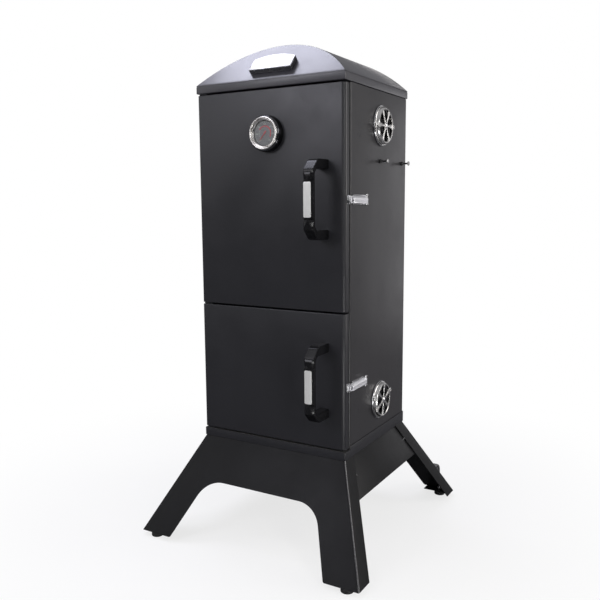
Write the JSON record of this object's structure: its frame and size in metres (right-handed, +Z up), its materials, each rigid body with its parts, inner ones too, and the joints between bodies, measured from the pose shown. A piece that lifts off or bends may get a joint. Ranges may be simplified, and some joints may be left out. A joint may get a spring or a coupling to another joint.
{
  "type": "cabinet smoker",
  "caption": "Tall cabinet smoker on splayed legs: domed roof, stacked doors with pull handles, dial thermometer, side latches, rotary dampers and tool hooks, racks and pans inside.",
  "frame": {"origin": "on the floor, at the middle of the whole footprint: the bottom centre of the bounding box", "axes": "+Z up; the doors face -Y; +X to the right of someone facing the doors, the side with the latches and dampers"},
  "size_m": [0.6164, 0.6844, 1.2172],
  "materials": {
    "charcoal_paint": "satin charcoal powder coat",
    "roof_paint": "satin charcoal, slightly glossier",
    "leg_paint": "satin black powder coat",
    "liner_steel": "aluminised steel sheet",
    "chrome": "bright chrome plate",
    "brushed_plate": "brushed",
    "grip_plastic": "glossy black moulded resin",
    "black_rubber": "moulded",
    "gasket_fibre": "woven glass-fibre rope",
    "grey_plastic": "moulded",
    "dial_face": "matt printed",
    "needle_red": "satin",
    "gauge_glass": "clear",
    "black_enamel": "vitreous enamel"
  },
  "bodies": {
    "cabinet": {"cabinet_shell": "charcoal_paint", "inner_liner": "liner_steel", "front_frame": "charcoal_paint", "floor_plate": "liner_steel", "base_band": "leg_paint", "roof_cap": "roof_paint", "badge_plate": "brushed_plate", "front_leg_panel": "leg_paint", "rear_leg_panel": "leg_paint", "left_apron": "leg_paint", "right_apron": "leg_paint", "glide_front_left": "black_rubber", "glide_front_right": "black_rubber", "glide_rear_left": "black_rubber", "glide_rear_right": "black_rubber", "wheel_bracket_left": "leg_paint", "wheel_bracket_right": "leg_paint", "hinge_bracket_top": "charcoal_paint", "hinge_bracket_middle": "charcoal_paint", "hinge_bracket_bottom": "charcoal_paint", "hinge_pin_top": "chrome", "hinge_pin_middle": "chrome", "hinge_pin_bottom": "chrome", "upper_latch_base": "chrome", "lower_latch_base": "chrome", "upper_damper_base": "chrome", "lower_damper_base": "chrome", "tool_hook_front": "leg_paint", "tool_hook_rear": "leg_paint", "left_rack_rail": "liner_steel", "right_rack_rail": "liner_steel"},
    "upper_door": {"upper_door_skin": "charcoal_paint", "upper_door_liner": "liner_steel", "upper_door_gasket": "gasket_fibre", "upper_door_handle": "grip_plastic", "upper_handle_plate": "brushed_plate", "upper_latch_keeper": "chrome", "thermometer_case": "chrome", "thermometer_dial": "dial_face", "thermometer_lens": "gauge_glass"},
    "lower_door": {"lower_door_skin": "charcoal_paint", "lower_door_liner": "liner_steel", "lower_door_gasket": "gasket_fibre", "lower_door_handle": "grip_plastic", "lower_handle_plate": "brushed_plate", "lower_latch_keeper": "chrome"},
    "thermometer_pointer": {"thermometer_needle": "needle_red"},
    "upper_latch": {"upper_latch_lever": "chrome"},
    "lower_latch": {"lower_latch_lever": "chrome"},
    "upper_damper": {"upper_damper_disc": "chrome"},
    "lower_damper": {"lower_damper_disc": "chrome"},
    "rack_1": {"cooking_rack_1": "chrome"},
    "rack_2": {"cooking_rack_2": "chrome"},
    "rack_3": {"cooking_rack_3": "chrome"},
    "rack_4": {"cooking_rack_4": "chrome"},
    "water_pan_body": {"water_pan": "black_enamel"},
    "charcoal_basket_body": {"charcoal_basket": "liner_steel"},
    "ash_pan_body": {"ash_pan": "black_enamel"},
    "left_wheel": {"rear_wheel_left": "grey_plastic"},
    "right_wheel": {"rear_wheel_right": "grey_plastic"}
  },
  "joints": [
    {"name": "upper_door_hinge", "type": "hinge", "parent": "cabinet", "child": "upper_door", "pos_m": [-0.193, -0.1928, 0.85], "axis": [0, 0, -1], "range_deg": [0, 130]},
    {"name": "lower_door_hinge", "type": "hinge", "parent": "cabinet", "child": "lower_door", "pos_m": [-0.193, -0.1928, 0.43], "axis": [0, 0, -1], "range_deg": [0, 130]},
    {"name": "thermometer_pointer_turn", "type": "hinge", "parent": "upper_door", "child": "thermometer_pointer", "pos_m": [0, -0.2164, 1.0055], "axis": [0, 1, 0], "range_deg": [0, 270]},
    {"name": "upper_latch_swing", "type": "hinge", "parent": "cabinet", "child": "upper_latch", "pos_m": [0.21, -0.1048, 0.851], "axis": [0, 0, 1], "range_deg": [0, 75]},
    {"name": "lower_latch_swing", "type": "hinge", "parent": "cabinet", "child": "lower_latch", "pos_m": [0.21, -0.1048, 0.4165], "axis": [0, 0, 1], "range_deg": [0, 75]},
    {"name": "upper_damper_turn", "type": "hinge", "parent": "cabinet", "child": "upper_damper", "pos_m": [0.213, -0.0068, 1.0283], "axis": [1, 0, 0], "range_deg": [0, 30]},
    {"name": "lower_damper_turn", "type": "hinge", "parent": "cabinet", "child": "lower_damper", "pos_m": [0.213, -0.0068, 0.3453], "axis": [1, 0, 0], "range_deg": [-22, 8]},
    {"name": "rack_1_slide", "type": "slide", "parent": "cabinet", "child": "rack_1", "axis": [0, -1, 0], "range_m": [0, 0.02]},
    {"name": "rack_2_slide", "type": "slide", "parent": "cabinet", "child": "rack_2", "axis": [0, -1, 0], "range_m": [0, 0.02]},
    {"name": "rack_3_slide", "type": "slide", "parent": "cabinet", "child": "rack_3", "axis": [0, -1, 0], "range_m": [0, 0.02]},
    {"name": "rack_4_slide", "type": "slide", "parent": "cabinet", "child": "rack_4", "axis": [0, -1, 0], "range_m": [0, 0.02]},
    {"name": "water_pan_slide", "type": "slide", "parent": "cabinet", "child": "water_pan_body", "axis": [0, -1, 0], "range_m": [0, 0.02]},
    {"name": "charcoal_basket_slide", "type": "slide", "parent": "cabinet", "child": "charcoal_basket_body", "axis": [0, -1, 0], "range_m": [0, 0.02]},
    {"name": "ash_pan_slide", "type": "slide", "parent": "cabinet", "child": "ash_pan_body", "axis": [0, -1, 0], "range_m": [0, 0.02]},
    {"name": "left_wheel_spin", "type": "hinge", "parent": "cabinet", "child": "left_wheel", "pos_m": [-0.242, 0.3132, 0.043], "axis": [1, 0, 0], "continuous": true},
    {"name": "right_wheel_spin", "type": "hinge", "parent": "cabinet", "child": "right_wheel", "pos_m": [0.242, 0.3132, 0.043], "axis": [1, 0, 0], "continuous": true}
  ]
}
